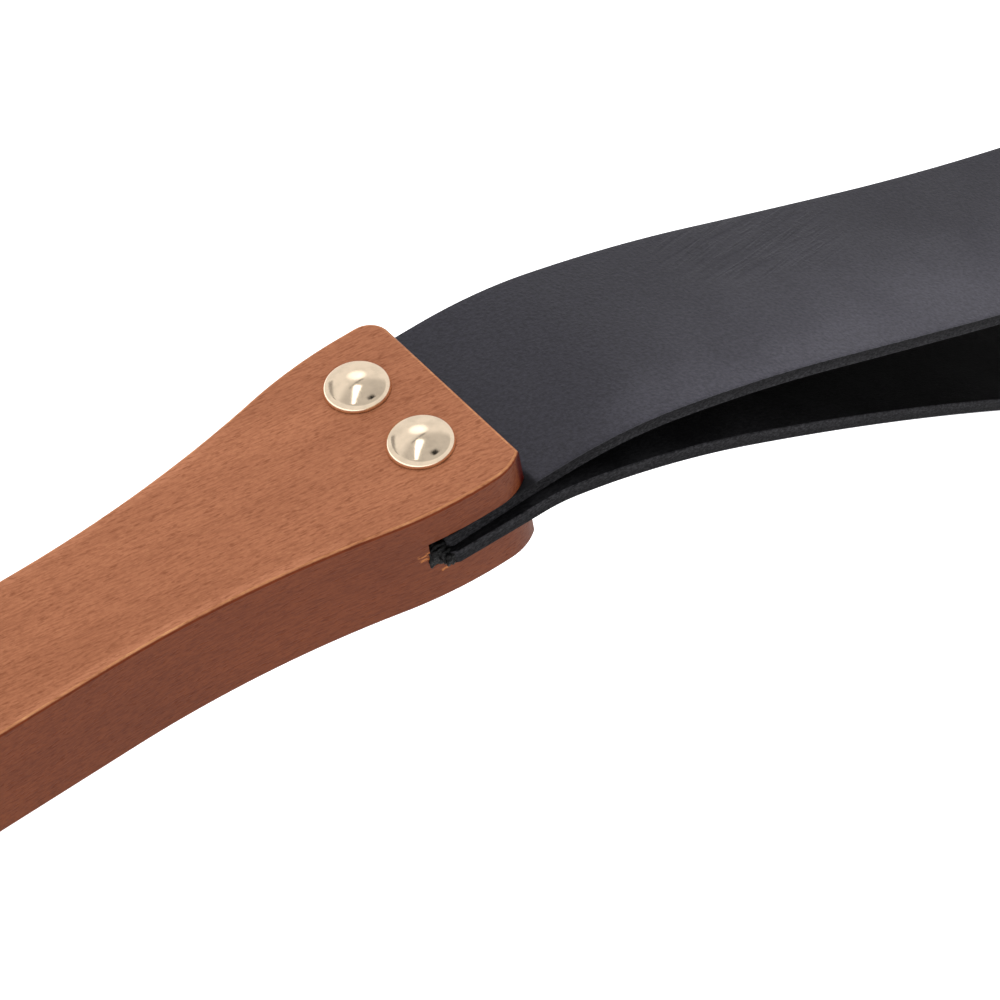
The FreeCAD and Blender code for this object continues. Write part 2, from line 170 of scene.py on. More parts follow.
class Nodes:
    """Adds nodes to a tree; each input is a value or another node's output."""

    def __init__(self, tree):
        self.tree = tree

    def add(self, kind, settings=None, **inputs):
        node = self.tree.nodes.new(kind)
        for key, value in (settings or {}).items():
            setattr(node, key, value)
        for key, value in inputs.items():
            self.feed(node.inputs[key.replace("_", " ")], value)
        return node

    def feed(self, socket, value):
        if isinstance(value, bpy.types.NodeSocket):
            self.tree.links.new(value, socket)
        else:
            socket.default_value = value

    def coordinates(self, kind):
        return self.add("ShaderNodeTexCoord").outputs[kind]

    def attribute(self, name):
        return self.add("ShaderNodeAttribute", {"attribute_name": name}).outputs["Vector"]

    def mapping(self, vector, location=(0, 0, 0), rotation=(0, 0, 0), scale=(1, 1, 1)):
        node = self.add("ShaderNodeMapping", Vector=vector, Location=location, Rotation=rotation, Scale=scale)
        return node.outputs[0]

    def split(self, vector):
        return self.add("ShaderNodeSeparateXYZ", Vector=vector).outputs

    def join(self, x, y, z):
        return self.add("ShaderNodeCombineXYZ", X=x, Y=y, Z=z).outputs[0]

    def math(self, operation, *values):
        node = self.add("ShaderNodeMath", {"operation": operation})
        for socket, value in zip(node.inputs, values):
            self.feed(socket, value)
        return node.outputs[0]

    def product(self, first, *others):
        for other in others:
            first = self.math("MULTIPLY", first, other)
        return first

    def total(self, first, *others):
        for other in others:
            first = self.math("ADD", first, other)
        return first

    def ramp(self, value, low, high, start=0.0, end=1.0):
        """A smooth step from start at low to end at high."""
        node = self.add("ShaderNodeMapRange", {"interpolation_type": "SMOOTHSTEP"})
        names = ("Value", "From Min", "From Max", "To Min", "To Max")
        for key, number in zip(names, (value, low, high, start, end)):
            self.feed(node.inputs[key], number)
        return node.outputs[0]

    def ramp_mm(self, length, low, high, start=0.0, end=1.0):
        """The same for a length in metres, between two lengths in millimetres."""
        return self.ramp(length, low * MM, high * MM, start, end)

    def dot(self, vector, direction):
        node = self.add("ShaderNodeVectorMath", {"operation": "DOT_PRODUCT"})
        self.feed(node.inputs[0], vector)
        node.inputs[1].default_value = direction
        return node.outputs["Value"]

    def noise(self, vector, scale, detail=2.0, roughness=0.5, distortion=0.0):
        node = self.add(
            "ShaderNodeTexNoise",
            Vector=vector,
            Scale=scale,
            Detail=detail,
            Roughness=roughness,
            Distortion=distortion,
        )
        return node.outputs[0]

    def cells(self, vector, scale, smoothness):
        node = self.add("ShaderNodeTexVoronoi", {"feature": "SMOOTH_F1"}, Vector=vector, Scale=scale)
        self.feed(node.inputs["Smoothness"], smoothness)
        return node.outputs["Distance"]

    def blend(self, share, first, second, mode="MIX"):
        node = self.add("ShaderNodeMix", {"data_type": "RGBA", "blend_type": mode})
        sockets = [socket for socket in node.inputs if socket.enabled]
        for socket, value in zip(sockets, (share, first, second)):
            self.feed(socket, value if isinstance(value, (bpy.types.NodeSocket, float)) else (*value, 1))
        return next(socket for socket in node.outputs if socket.enabled)

    def blend_directions(self, share, first, second):
        node = self.add("ShaderNodeMix", {"data_type": "VECTOR"})
        sockets = [socket for socket in node.inputs if socket.enabled]
        for socket, value in zip(sockets, (share, first, second)):
            self.feed(socket, value)
        return next(socket for socket in node.outputs if socket.enabled)

    def tint(self, colour, by):
        """The colour times another colour, or times one number for all three channels."""
        if isinstance(by, bpy.types.NodeSocket):
            by = self.join(by, by, by)
        return self.blend(1.0, colour, by, "MULTIPLY")

    def bump(self, height, strength, distance):
        return self.add("ShaderNodeBump", Height=height, Strength=strength, Distance=distance).outputs[0]


class Shader(Nodes):
    """A material with one principled surface."""

    def __init__(self, name, **settings):
        self.material = bpy.data.materials.new(name)
        self.material.use_nodes = True
        super().__init__(self.material.node_tree)
        self.tree.nodes.clear()
        self.surface = self.add("ShaderNodeBsdfPrincipled", **settings)
        output = self.add("ShaderNodeOutputMaterial")
        self.tree.links.new(self.surface.outputs[0], output.inputs["Surface"])

    def use(self, **inputs):
        for key, value in inputs.items():
            self.feed(self.surface.inputs[key.replace("_", " ")], value)


# ---------------------------------------------------------------- wood

GRAIN_TURN = math.radians(9)  # the grain runs a little across the handle
WOOD_LIGHT = (0.320, 0.124, 0.061)
WOOD_MIDDLE = (0.283, 0.107, 0.052)
WOOD_DARK = (0.120, 0.030, 0.011)
WOOD_SIDE_SHADE = (0.48, 0.28, 0.13)  # painted shade: how much darker the sides are than the broad faces, as they face away from the light
WOOD_END_STAIN_AND_SHADE = (0.18, 0.026, 0.012)  # the upper jaw's sawn end: partly end grain that took the most stain, partly painted shade beside the strap
WOOD_WORN_AND_HIGHLIGHT = (1.30, 1.45, 1.30)  # how much paler the top of a rounded edge is: worn stain and a painted highlight
WOOD_RIM = (0.98, 0.72, 0.38)  # how much of the sides' colour is left just below it
WOOD_PALE = (0.62, 0.32, 0.15)
WOOD_RAW = (0.46, 0.16, 0.04)
FIBRE_STRENGTH = 0.36
MOTTLE_STRENGTH = 0.22
PALE_FLECK_STRENGTH = 0.07
FLECK_STRENGTH = (0.22, 0.46)  # on the sides and on the broad faces
CLOUD_STRENGTH = 0.16

WOOD_BAND_SHEEN = (1.18, 1.24, 1.30)  # painted sheen: how much paler the band just inside the broad faces' edges is, as if a rolled-off edge caught more light
BAND_STARTS = (0.2, 0.7)  # millimetres in from the edge, between which the band comes up
BAND_ENDS = (1.4, 2.5)
BAND_STOPS = (35, 50)  # millimetres from the waist towards the head, between which it dies away

SAW_MARKS = [
    # millimetres from the slot's inner end towards its mouth and above its floor, then length and thickness
    (-1.0, 3.6, 2.4, 0.6),
    (-0.8, 2.5, 2.2, 0.6),
    (2.4, -1.8, 1.5, 0.5),
]
SAW_MARK_WANDER = 1.1
SAW_MARK_STRENGTH = 0.7


def wood_material():
    s = Shader("stained_wood")
    to_handle = tuple(-(LEAN_BACK.transposed() @ HANDLE_ORIGIN))
    spot = s.mapping(s.coordinates("Object"), location=to_handle, rotation=(0, LEAN, 0))
    facing_along, _, facing_up = s.split(s.mapping(s.coordinates("Normal"), rotation=(0, LEAN, 0)))
    flat = s.math("ABSOLUTE", facing_up)

    # grain: long faint streaks, fine fibres and short dark flecks
    grain = s.mapping(spot, rotation=(0, 0, GRAIN_TURN))
    bands = s.noise(s.mapping(grain, scale=(14, 190, 190)), 1.0, detail=3, roughness=0.55, distortion=0.6)
    fibres = s.noise(s.mapping(grain, scale=(330, 2900, 2900)), 1.0, detail=2, roughness=0.6)
    flecks = s.noise(s.mapping(grain, location=(3, 5, 7), scale=(640, 2700, 2700)), 1.0, detail=1.0)
    mottle = s.noise(s.mapping(grain, scale=(1100, 1800, 1800)), 1.0, detail=3, roughness=0.6)
    pale_flecks = s.noise(s.mapping(grain, location=(9, 2, 4), scale=(600, 2400, 2400)), 1.0, detail=1.0)
    fleck_mask = s.ramp(flecks, 0.56, 0.74)
    clouds = s.noise(s.mapping(spot, scale=(28, 45, 45)), 1.0, detail=2)

    colour = s.blend(s.ramp(bands, 0.30, 0.70), WOOD_MIDDLE, WOOD_LIGHT)
    colour = s.blend(s.ramp(fibres, 0.40, 0.70, 0.0, FIBRE_STRENGTH), colour, WOOD_DARK)
    colour = s.blend(s.ramp(mottle, 0.40, 0.68, 0.0, MOTTLE_STRENGTH), colour, WOOD_DARK)
    colour = s.blend(s.ramp(pale_flecks, 0.60, 0.74, 0.0, PALE_FLECK_STRENGTH), colour, WOOD_PALE)
    fleck_strength = s.ramp(flat, 0.5, 0.9, *FLECK_STRENGTH)
    colour = s.blend(s.product(fleck_mask, fleck_strength), colour, WOOD_DARK)
    colour = s.blend(s.ramp(clouds, 0.30, 0.75, 0.0, CLOUD_STRENGTH), colour, WOOD_DARK)

    # painted sheen in a band just inside the broad faces' edges
    band = s.product(inner_band(s, spot), s.ramp(bands, 0.25, 0.60, 0.55, 1.0))
    colour = s.blend(band, colour, s.tint(colour, WOOD_BAND_SHEEN))

    # painted shade: the sides darker than the two broad faces, as they face away from the light; the sawn end
    # above the slot darker still, partly its end grain's stain and partly painted shade beside the strap
    side = s.ramp(flat, 0.55, 0.84, 1.0, 0.0)
    _, _, height = s.split(spot)
    above_slot = s.ramp_mm(height, SLOT_FLOOR, SLOT_FLOOR + SLOT_HEIGHT)
    # end grain stain and painted shade on the upper jaw's sawn end, above the slot only
    end = s.product(s.ramp(facing_along, 0.44, 0.54), above_slot)
    sides = s.blend(end, s.tint(colour, WOOD_SIDE_SHADE), s.tint(colour, WOOD_END_STAIN_AND_SHADE))

    # rounded edges: rubbed thin and pale towards the broad face with a painted highlight there, and an orange
    # brown line below
    rim = s.product(s.ramp(flat, 0.04, 0.30), s.ramp(flat, 0.60, 0.84, 1.0, 0.0))
    sides = s.blend(rim, sides, s.tint(sides, WOOD_RIM))
    paling = s.noise(s.mapping(spot, scale=(170, 170, 170)), 1.0, detail=4, roughness=0.6)
    edge = s.product(s.ramp(flat, 0.72, 0.86), s.ramp(flat, 0.9965, 0.9999, 1.0, 0.0))
    worn_and_highlight = s.blend(s.ramp(paling, 0.50, 0.72, 0.0, 0.45), s.tint(colour, WOOD_WORN_AND_HIGHLIGHT), WOOD_PALE)
    colour = s.blend(s.product(edge, s.ramp(paling, 0.28, 0.52, 0.35, 1.0)), colour, worn_and_highlight)
    colour = s.blend(side, colour, sides)

    # bare wood that the saw left at the inner end of the slot
    colour = s.blend(saw_marks(s, spot), colour, WOOD_RAW)

    relief = s.total(s.product(fibres, 0.5), s.product(fleck_mask, -0.8))
    s.use(
        Base_Color=colour,
        Roughness=s.ramp(s.total(fibres, fleck_mask), 0.3, 1.2, 0.40, 0.55),
        Specular_IOR_Level=0.10,
        Coat_Weight=0.04,
        Coat_Roughness=0.25,
        Normal=s.bump(relief, 0.25, 0.00012),
    )
    return s.material


def inner_band(s, spot):
    """A band of the broad faces that follows the neck's and grip's outline, just inside their edges."""
    x, y, _ = s.split(spot)
    from_waist = s.total(x, WAIST * MM)
    to_head = s.math("MAXIMUM", from_waist, 0.0)
    curve = s.math("DIVIDE", s.math("POWER", to_head, 2.0), 2 * NECK_RADIUS * MM)
    flare = s.product(s.math("MINIMUM", from_waist, 0.0), -GRIP_FLARE)
    half_width = s.total(curve, flare, NECK_HALF_WIDTH * MM)
    inside = s.math("SUBTRACT", half_width, s.math("ABSOLUTE", y))
    band = s.product(s.ramp_mm(inside, *BAND_STARTS), s.ramp_mm(inside, *BAND_ENDS, 1.0, 0.0))
    return s.product(band, s.ramp_mm(from_waist, *BAND_STOPS, 1.0, 0.0))


def saw_marks(s, spot):
    """Two short strokes beyond the slot's inner end and one below its lower lip."""
    x, _, z = s.split(spot)
    ragged = s.ramp(s.noise(s.mapping(spot, scale=(800, 800, 2600)), 1.0, detail=3), 0.40, 0.52)
    wander = s.product(s.math("SUBTRACT", s.noise(spot, 700, detail=3), 0.5), SAW_MARK_WANDER * MM)

    def stroke(along, height, length, thickness):
        off_line = s.math("ABSOLUTE", s.total(z, -(SLOT_FLOOR + height) * MM, wander))
        off_middle = s.math("ABSOLUTE", s.math("SUBTRACT", x, (along - SLOT_DEPTH) * MM))
        thin = s.ramp_mm(off_line, thickness * 0.3, thickness * 0.7, 1.0, 0.0)
        return s.product(thin, s.ramp_mm(off_middle, length * 0.35, length * 0.6, 1.0, 0.0))

    marks = 0.0
    for mark in SAW_MARKS:
        marks = s.math("MAXIMUM", marks, stroke(*mark))
    return s.product(marks, ragged, SAW_MARK_STRENGTH)


# ---------------------------------------------------------------- leather

# along a strap is from its clamped end, across it from its middle, the far side positive
LEATHER_GRAIN = (0.0176, 0.0166, 0.0222)
LEATHER_SHEEN = (0.0392, 0.0374, 0.0482)  # painted sheen towards the near edge of the free length
SHEEN_ACROSS = (-22, 15)  # from full painted sheen to none, in millimetres
SHEEN_ALONG = (30, 110)  # from hardly any painted sheen to full
SHEEN_WANDER = 3.0
# a painted highlight along the near edge, fading further along the strap
EDGE_SHEEN_ACROSS = (-23, -8)
EDGE_SHEEN_ALONG = (26, 44)
EDGE_FADES_ALONG = (60, 130)
LEATHER_CUT = (0.0040, 0.0040, 0.0046)
LEATHER_CUT_FIBRE = (0.0185, 0.0180, 0.0200)
CUT_LIGHT_NEAR_FLESH = 1.9  # how much paler the cut edge is towards the flesh side: painted light over the shade the lower strap casts on the upper strap's edge
# the nap's colours are painted near black with the shade of the gap between the straps
LEATHER_FLESH = (0.0006, 0.0006, 0.0007)
LEATHER_NAP = (0.0020, 0.0020, 0.0022)
FLESH_AT_SLOT = 5.0  # how much paler the nap is near the slot
FLESH_AT_END = 4.5  # and towards the strap's far end
FLESH_LIGHT_NEAR_EDGE = 2.1  # and along its near edge: painted light where light comes into the gap
INSIDE_ALONG = (70, 150)  # between these, the far part of the nap goes from pale to dark: painted shade deeper in the gap
INSIDE_SHADE = (1.1, 0.45)
MOUTH_SHADOW_SHADE = 0.16  # what is left of the leather's colour in the painted shadow at the slot's near corner
MOUTH_SHADOW_ALONG = (17.9, 20.2)  # from full painted shadow to none
MOUTH_SHADOW_ACROSS = (-20.5, -13.0)  # from full painted shadow to what lies along the rest of the slot's mouth
MOUTH_SHADOW_REST = 0.35
CREASE_TURN = math.radians(-19)  # they run slantwise over the strap
CREASES_AT = (100, 14)  # millimetres along and across
CREASES_SIZE = (26, 13)
GRAIN_GLOSS = 0.24  # specular level
EDGE_GLOSS = 0.08
GLUE_DARK = (0.0010, 0.0010, 0.0014)
GLUE_LIGHT = (0.0026, 0.0025, 0.0023)


def leather_material(name, gloss):
    """Grain side and cut edge, told apart by the third number of strap_place; gloss is the specular level."""
    s = Shader(name)
    spot = s.attribute("strap_place")  # metres along, metres across, and +1 on the grain side to -1 below
    along, across, side = s.split(spot)
    surface = s.mapping(spot, scale=(1, 1, STRAP_THICKNESS / 2 * MM))
    ragged = s.noise(surface, 1400, detail=3)
    fuzzy_side = s.total(side, s.product(s.math("SUBTRACT", ragged, 0.5), 0.22))
    grain_side = s.ramp(fuzzy_side, 0.76, 0.86)

    # grain side: tiny pebbles, fine pores and the creases of the bend beyond the slot
    pebbles = s.cells(s.mapping(surface, scale=(1, 1.25, 1)), 1500, smoothness=0.7)
    pores = s.noise(surface, 1300, detail=4, roughness=0.65)
    drift = s.noise(surface, 38, detail=3, roughness=0.55)
    crease_turn = s.mapping(surface, rotation=(0, 0, CREASE_TURN))
    creases = s.noise(s.mapping(crease_turn, scale=(48, 520, 300)), 1.0, detail=2, distortion=0.7)
    crease_height = s.product(s.ramp(creases, 0.38, 0.62), creased_place(s, along, across))

    # painted sheen: paler on the free length, most of all at its near edge, where a painted highlight runs
    wander = s.ramp(drift, 0.3, 0.7, -SHEEN_WANDER * MM, SHEEN_WANDER * MM)
    from_middle = s.total(across, wander)
    near = s.ramp_mm(from_middle, *SHEEN_ACROSS, 1.0, 0.0)
    paling = s.product(near, s.ramp_mm(along, *SHEEN_ALONG, 0.06, 1.0))
    edge_sheen = s.ramp_mm(from_middle, *EDGE_SHEEN_ACROSS, 1.0, 0.0)
    edge_sheen = s.product(edge_sheen, s.ramp_mm(along, *EDGE_SHEEN_ALONG))
    edge_sheen = s.product(edge_sheen, s.ramp_mm(along, *EDGE_FADES_ALONG, 0.55, 0.28))
    grain = s.blend(s.total(paling, edge_sheen), LEATHER_GRAIN, LEATHER_SHEEN)
    speckle = s.total(pores, s.product(crease_height, 0.06))
    grain = s.tint(grain, s.ramp(speckle, 0.28, 0.72, 0.72, 1.28))

    # cut edge: fibres, with painted light towards the flesh side
    fibres = s.noise(s.mapping(surface, scale=(1300, 900, 2600)), 1.0, detail=4, roughness=0.7)
    cut = s.blend(s.ramp(fibres, 0.36, 0.70), LEATHER_CUT, LEATHER_CUT_FIBRE)
    cut = s.tint(cut, s.ramp(side, -1.0, 0.7, CUT_LIGHT_NEAR_FLESH, 1.0))

    # painted contact shadow where the strap leaves the slot
    shadow_across = s.ramp_mm(across, *MOUTH_SHADOW_ACROSS, 1.0, MOUTH_SHADOW_REST)
    mouth_shadow = s.product(s.ramp_mm(along, *MOUTH_SHADOW_ALONG, 1.0, 0.0), shadow_across, grain_side)
    colour = s.tint(s.blend(grain_side, cut, grain), s.ramp(mouth_shadow, 0.0, 1.0, 1.0, MOUTH_SHADOW_SHADE))

    relief = s.total(s.product(pebbles, 0.4), pores, s.product(crease_height, 1.3))
    direction = s.blend_directions(grain_side, s.bump(fibres, 0.55, 0.00030), s.bump(relief, 0.45, 0.00024))
    polish = s.ramp(drift, 0.3, 0.75, 0.46, 0.54)
    s.use(
        Base_Color=colour,
        Roughness=s.ramp(grain_side, 0.0, 1.0, 0.80, s.ramp(mouth_shadow, 0.0, 1.0, polish, 0.90)),
        Specular_IOR_Level=gloss,
        Normal=direction,
    )
    return s.material


def creased_place(s, along, across):
    """1 where the upper strap is creased: an oval patch at its far edge."""
    squares = []
    for position, middle, size in zip((along, across), CREASES_AT, CREASES_SIZE):
        share = s.math("DIVIDE", s.math("SUBTRACT", position, middle * MM), size * MM)
        squares.append(s.math("POWER", s.math("ABSOLUTE", share), 2.0))
    return s.ramp(s.total(*squares), 0.2, 1.2, 1.0, 0.0)


def flesh_material():
    """The napped inner side of the leather, with the shade and light of the gap between the straps painted
    into its colour.
    """
    s = Shader("leather_flesh")
    surface = s.mapping(s.attribute("strap_place"), scale=(1, 1, STRAP_THICKNESS / 2 * MM))
    nap = s.noise(s.mapping(surface, scale=(900, 2300, 2300)), 1.0, detail=4, roughness=0.7)
    patches = s.noise(surface, 60, detail=3)
    colour = s.blend(s.ramp(s.total(nap, patches), 0.8, 1.3), LEATHER_FLESH, LEATHER_NAP)
    along, across, _ = s.split(surface)
    at_slot = s.ramp_mm(along, 30, 100, FLESH_AT_SLOT, 1.0)
    at_end = s.ramp_mm(along, 170, 230, 1.0, FLESH_AT_END)
    near_edge = s.ramp_mm(along, 35, 75, 1.0, FLESH_LIGHT_NEAR_EDGE)
    inside = s.ramp_mm(along, *INSIDE_ALONG, *INSIDE_SHADE)
    paler = s.product(s.math("MAXIMUM", at_slot, at_end), s.ramp_mm(across, -20, 0, near_edge, inside))
    colour = s.tint(colour, paler)
    s.use(Base_Color=colour, Roughness=0.97, Specular_IOR_Level=0.03, Normal=s.bump(nap, 0.6, 0.00035))
    return s.material


def glue_material():
    """Dried black glue, crumbly and a little shiny."""
    s = Shader("black_glue")
    spot = s.coordinates("Object")
    crumbs = s.noise(spot, 1500, detail=4, roughness=0.65)
    colour = s.blend(s.ramp(crumbs, 0.35, 0.70), GLUE_DARK, GLUE_LIGHT)
    s.use(
        Base_Color=colour,
        Roughness=s.ramp(crumbs, 0.3, 0.7, 0.30, 0.65),
        Specular_IOR_Level=0.12,
        Normal=s.bump(crumbs, 0.7, 0.0004),
    )
    return s.material


# ---------------------------------------------------------------- metal

CAP_COLOUR = (0.93, 0.755, 0.565)
STEEL_COLOUR = (0.56, 0.55, 0.52)


def cap_material():
    """Polished pale gold plate with faint swirls and a little tarnish."""
    s = Shader("gold_cap", Metallic=1.0)
    spot = s.coordinates("Object")
    swirl = s.noise(s.mapping(spot, scale=(5200, 900, 900)), 1.0, detail=3)
    dull = s.noise(spot, 420, detail=3)
    tarnish = tuple(part * 0.86 for part in CAP_COLOUR)
    s.use(
        Base_Color=s.blend(s.ramp(dull, 0.35, 0.75), CAP_COLOUR, tarnish),
        Roughness=s.ramp(s.total(swirl, dull), 0.7, 1.3, 0.06, 0.12),
        Normal=s.bump(s.total(swirl, s.product(dull, 2.0)), 0.05, 0.00005),
    )
    return s.material


def steel_material():
    """Plain drawn steel of the rivets' posts and sockets."""
    s = Shader("rivet_steel", Metallic=1.0)
    spot = s.coordinates("Object")
    drawn = s.noise(s.mapping(spot, scale=(3000, 3000, 260)), 1.0, detail=3)
    darker = tuple(part * 0.8 for part in STEEL_COLOUR)
    s.use(
        Base_Color=s.blend(s.ramp(drawn, 0.35, 0.7), STEEL_COLOUR, darker),
        Roughness=s.ramp(drawn, 0.3, 0.7, 0.28, 0.42),
        Normal=s.bump(drawn, 0.1, 0.00003),
    )
    return s.material


WOOD = wood_material()
LEATHER = leather_material("black_leather", GRAIN_GLOSS)
LEATHER_EDGE = leather_material("leather_edge", EDGE_GLOSS)
FLESH = flesh_material()
GLUE = glue_material()
GOLD = cap_material()
STEEL = steel_material()


# ---------------------------------------------------------------- the leather straps

FACE_POINTS = 45  # across each face
CORNER_STEPS = 3
EDGE_STEPS = 5
GRAIN_FROM = 0.8  # share of the half thickness above which the edge takes the grain side's polish
CLIPPED_LENGTH = 1.0  # the small corner cut off each strap's inner end on the near side
CLIPPED_WIDTH = 0.6


def section():
    """The upper half of the strap's outline as (y, offset from the middle line), near edge to far edge."""
    half_width = STRAP_WIDTH / 2
    half_height = STRAP_THICKNESS / 2
    rounding = EDGE_ROUNDING
    upper_half = []
    for step in range(1, EDGE_STEPS):
        upper_half.append((-half_width, (half_height - rounding) * step / EDGE_STEPS))
    for step in range(CORNER_STEPS + 1):
        angle = math.pi / 2 * step / CORNER_STEPS
        y = -half_width + rounding * (1 - math.cos(angle))
        upper_half.append((y, half_height - rounding * (1 - math.sin(angle))))
    inner = half_width - rounding
    for step in range(1, FACE_POINTS - 1):
        upper_half.append((-inner + 2 * inner * step / (FACE_POINTS - 1), half_height))
    mirrored = [(-y, offset) for y, offset in reversed(upper_half[: EDGE_STEPS - 1 + CORNER_STEPS + 1])]
    return upper_half + mirrored


UPPER_HALF = section()
RING = [(-STRAP_WIDTH / 2, 0.0)] + UPPER_HALF + [(STRAP_WIDTH / 2, 0.0)]
RING += [(y, -offset) for y, offset in reversed(UPPER_HALF)]


def strap_steps(strap):
    """The strap's whole middle line from its clamped end, as (length, turn) steps."""
    steps = [(STRAP_CLAMPED, 0)] + bends(strap)
    if strap == "upper":
        whole = sum(length for length, _ in strap_steps("lower"))
        return steps + [(whole - sum(length for length, _ in steps), 0)]
    _, x, z, heading = walk((0, STRAP_HEIGHTS[strap]), 0, bends(strap), RING_SPACING)[-1]
    falling = -(heading + LEAN)
    above_ground = place(x, 0, z).z / MM
    curve_drop = LANDING_RADIUS * (1 - math.cos(falling))
    straight = (above_ground - STRAP_THICKNESS / 2 - curve_drop) / math.sin(falling)
    return steps + [(straight, 0), (LANDING_RADIUS * falling, falling), (REST_LENGTH, 0)]


def strap_rings(total):
    """Each ring's distance along the strap and how much the rounded ends shrink it there."""
    ends = []
    for step in range(CORNER_STEPS + 1):
        angle = math.pi / 2 * step / CORNER_STEPS
        ends.append((EDGE_ROUNDING * (1 - math.cos(angle)), EDGE_ROUNDING * (1 - math.sin(angle))))
    count = round(total / RING_SPACING)
    middle = [(total * number / count, 0.0) for number in range(1, count)]
    return ends + middle + [(total - advance, shrink) for advance, shrink in reversed(ends)]


def make_strap(strap, inner_shift, shift, twist, grain_up):
    stations = walk((-STRAP_CLAMPED, STRAP_HEIGHTS[strap]), 0, strap_steps(strap), RING_SPACING)
    profile = strap_rings(stations[-1][0])
    points, places = [], []
    for distance, shrink in profile:
        x, z, heading = at_distance(stations, distance)
        slope = twist * max(0.0, distance - STRAP_CLAMPED)
        straightened = min(1.0, distance / STRAP_CLAMPED)
        middle_y = inner_shift + (shift - inner_shift) * straightened
        trim = CLIPPED_WIDTH * max(0.0, 1 - distance / CLIPPED_LENGTH)
        for y, offset in RING:
            full_y = y * (1 - shrink / (STRAP_WIDTH / 2))
            if y < 0:
                full_y *= 1 - trim / (STRAP_WIDTH / 2)
            full_offset = offset - math.copysign(min(shrink, abs(offset)), offset)
            height = full_offset + slope * full_y
            px = x - height * math.sin(heading)
            pz = z + height * math.cos(heading)
            points.append(place(px, full_y + middle_y, pz))
            grain = offset / (STRAP_THICKNESS / 2) * (1 if grain_up else -1)
            places.append((distance * MM, full_y * MM, grain))

    count = len(RING)
    faces = []
    for ring in range(len(profile) - 1):
        for number in range(count):
            following = (number + 1) % count
            first, second = ring * count, (ring + 1) * count
            faces.append((first + number, first + following, second + following, second + number))
    for base, outward in ((0, True), ((len(profile) - 1) * count, False)):
        faces += end_faces(base, count, outward)

    piece = new_piece(f"{strap}_strap_leather", points, faces, LEATHER)
    piece.data.materials.append(FLESH)
    piece.data.materials.append(LEATHER_EDGE)
    for polygon in piece.data.polygons:
        side = sum(places[corner][2] for corner in polygon.vertices) / len(polygon.vertices)
        if side < GRAIN_FROM:
            polygon.material_index = 1 if side < TINY - 1 else 2
    layer = piece.data.attributes.new("strap_place", "FLOAT_VECTOR", "POINT")
    layer.data.foreach_set("vector", [number for spot in places for number in spot])
    return piece


def end_faces(base, count, outward):
    """Quads across one end, between the points of the upper and lower halves of the ring."""
    half = count // 2
    faces = []
    for number in range(half):
        upper, next_upper = number, number + 1
        lower, next_lower = (count - number) % count, count - number - 1
        corners = [base + upper, base + next_upper, base + next_lower, base + lower]
        corners = [corner for index, corner in enumerate(corners) if corner not in corners[:index]]
        faces.append(tuple(reversed(corners)) if outward else tuple(corners))
    return faces


def at_distance(stations, distance):
    """The middle line's x, z and heading at a distance from the clamped end."""
    for first, second in zip(stations, stations[1:]):
        if distance <= second[0]:
            share = (distance - first[0]) / (second[0] - first[0])
            return tuple(a + (b - a) * share for a, b in zip(first[1:], second[1:]))
    return stations[-1][1:]


straps = {
    "upper": make_strap("upper", UPPER_INNER_SHIFT, 0.0, TWIST, grain_up=True),
    "lower": make_strap("lower", LOWER_INNER_SHIFT, LOWER_SHIFT, 0.0, grain_up=False),
}
for strap, piece in straps.items():
    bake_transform(piece)
    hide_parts(f"{strap}_strap_root", f"{strap}_strap_blade")
    cut_length = sum(length for length, _ in strap_steps(strap))


# ---------------------------------------------------------------- dried glue in the slot

# besides the crumb itself, the lumps reach over the slot's floor to its lip: dark glue put where there is
# only shade
GLUE_LUMPS = [
    # middle, half size
    ((-18.9, -20.6, 10.8), (1.9, 1.15, 2.4)),
    ((-17.9, -21.8, 10.6), (1.1, 0.9, 1.5)),
    ((-19.7, -21.4, 11.4), (0.8, 0.6, 1.3)),
    ((-18.6, -21.6, 12.2), (0.9, 0.6, 0.8)),
    ((-17.7, -22.6, 10.2), (0.8, 0.8, 1.3)),
]
LUMP_RINGS = 24
LUMP_STEPS = 36
LUMP_BOXINESS = 4  # the power that makes each lump boxier than a ball
LUMP_ROUGHNESS = 0.30


def lump_spread(outward, number):
    """How far the lump's surface lies from its middle in that direction."""
    boxy = sum(abs(part) ** LUMP_BOXINESS for part in outward) ** (-1 / LUMP_BOXINESS)
    coarse = noise.noise(outward * 1.9 + Vector((4.0 + number, 1.0, 7.0)))
    fine = noise.noise(outward * 4.7 + Vector((2.0, 9.0 + number, 3.0)))
    return boxy * (1 + LUMP_ROUGHNESS * (coarse + 0.6 * fine))


